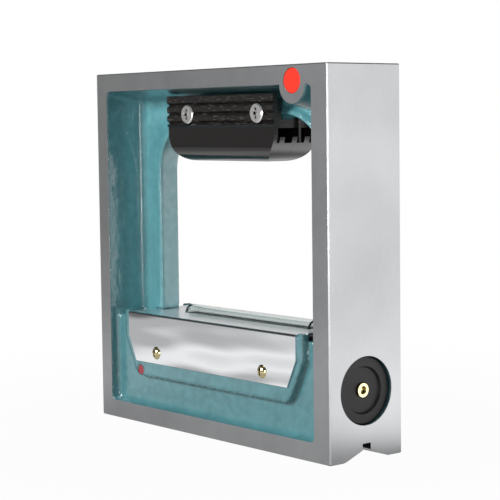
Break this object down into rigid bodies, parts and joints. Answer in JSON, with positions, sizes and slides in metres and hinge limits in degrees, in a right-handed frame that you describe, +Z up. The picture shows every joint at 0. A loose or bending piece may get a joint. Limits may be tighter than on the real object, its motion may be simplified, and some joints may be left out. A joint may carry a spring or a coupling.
{
  "type": "frame spirit level",
  "caption": "Square cast frame level with ground faces, sole and side grooves, chrome-covered vial beam and black grip.",
  "frame": {"origin": "centre of the bounding box at the sole", "axes": "+X along the beam towards the end with the adjuster cap, +Y through the frame away from the plugged front face, +Z up"},
  "size_m": [0.2, 0.0518, 0.2],
  "materials": {
    "frame": "ground measuring faces, painted recesses",
    "cover": "polished",
    "screw_brass": "polished",
    "clear_window": "clear",
    "gasket": "matt",
    "carrier_brass": "turned",
    "seat_ring": "matt",
    "vial_glass": "clear",
    "vial_liquid": "clear",
    "pin_steel": "ground",
    "spindle_brass": "turned",
    "cap_plastic": "satin",
    "grip_plastic": "gloss",
    "screw_steel": "bright",
    "seal_red": "gloss"
  },
  "bodies": {
    "level": {"frame": "frame", "cover": "cover", "cover_screws": "screw_brass", "vial_window": "clear_window", "window_gasket": "gasket", "pivot_pin": "pin_steel", "spindle_bush": "pin_steel", "spindle_washer": "pin_steel", "adjuster_cap": "cap_plastic", "cap_ring": "gasket", "cross_vial": "vial_glass", "cross_vial_liquid": "vial_liquid", "cross_vial_housing": "cap_plastic", "cross_vial_screws": "pin_steel", "grip_front": "grip_plastic", "grip_back": "grip_plastic", "grip_screws": "screw_steel", "grip_inserts": "screw_brass", "seal_plug": "seal_red", "seal_dot": "seal_red"},
    "zero_spindle": {"zero_spindle": "spindle_brass"},
    "vial_unit": {"vial_carrier": "carrier_brass", "carrier_cap_pivot": "carrier_brass", "carrier_cap_slot": "carrier_brass", "vial_rings": "seat_ring", "main_vial": "vial_glass", "main_vial_liquid": "vial_liquid"}
  },
  "joints": [
    {"name": "zero_turn", "type": "hinge", "parent": "level", "child": "zero_spindle", "pos_m": [0.09, 0, 0.0352], "axis": [1, 0, 0], "range_deg": [-46, 46]},
    {"name": "vial_tilt", "type": "hinge", "parent": "level", "child": "vial_unit", "pos_m": [-0.063, 0, 0.046], "axis": [0, -1, 0], "range_deg": [-0.27, 0.27]}
  ],
  "couplings": [
    {"joint": "zero_turn", "follows": "vial_tilt", "ratio": 167.3}
  ]
}
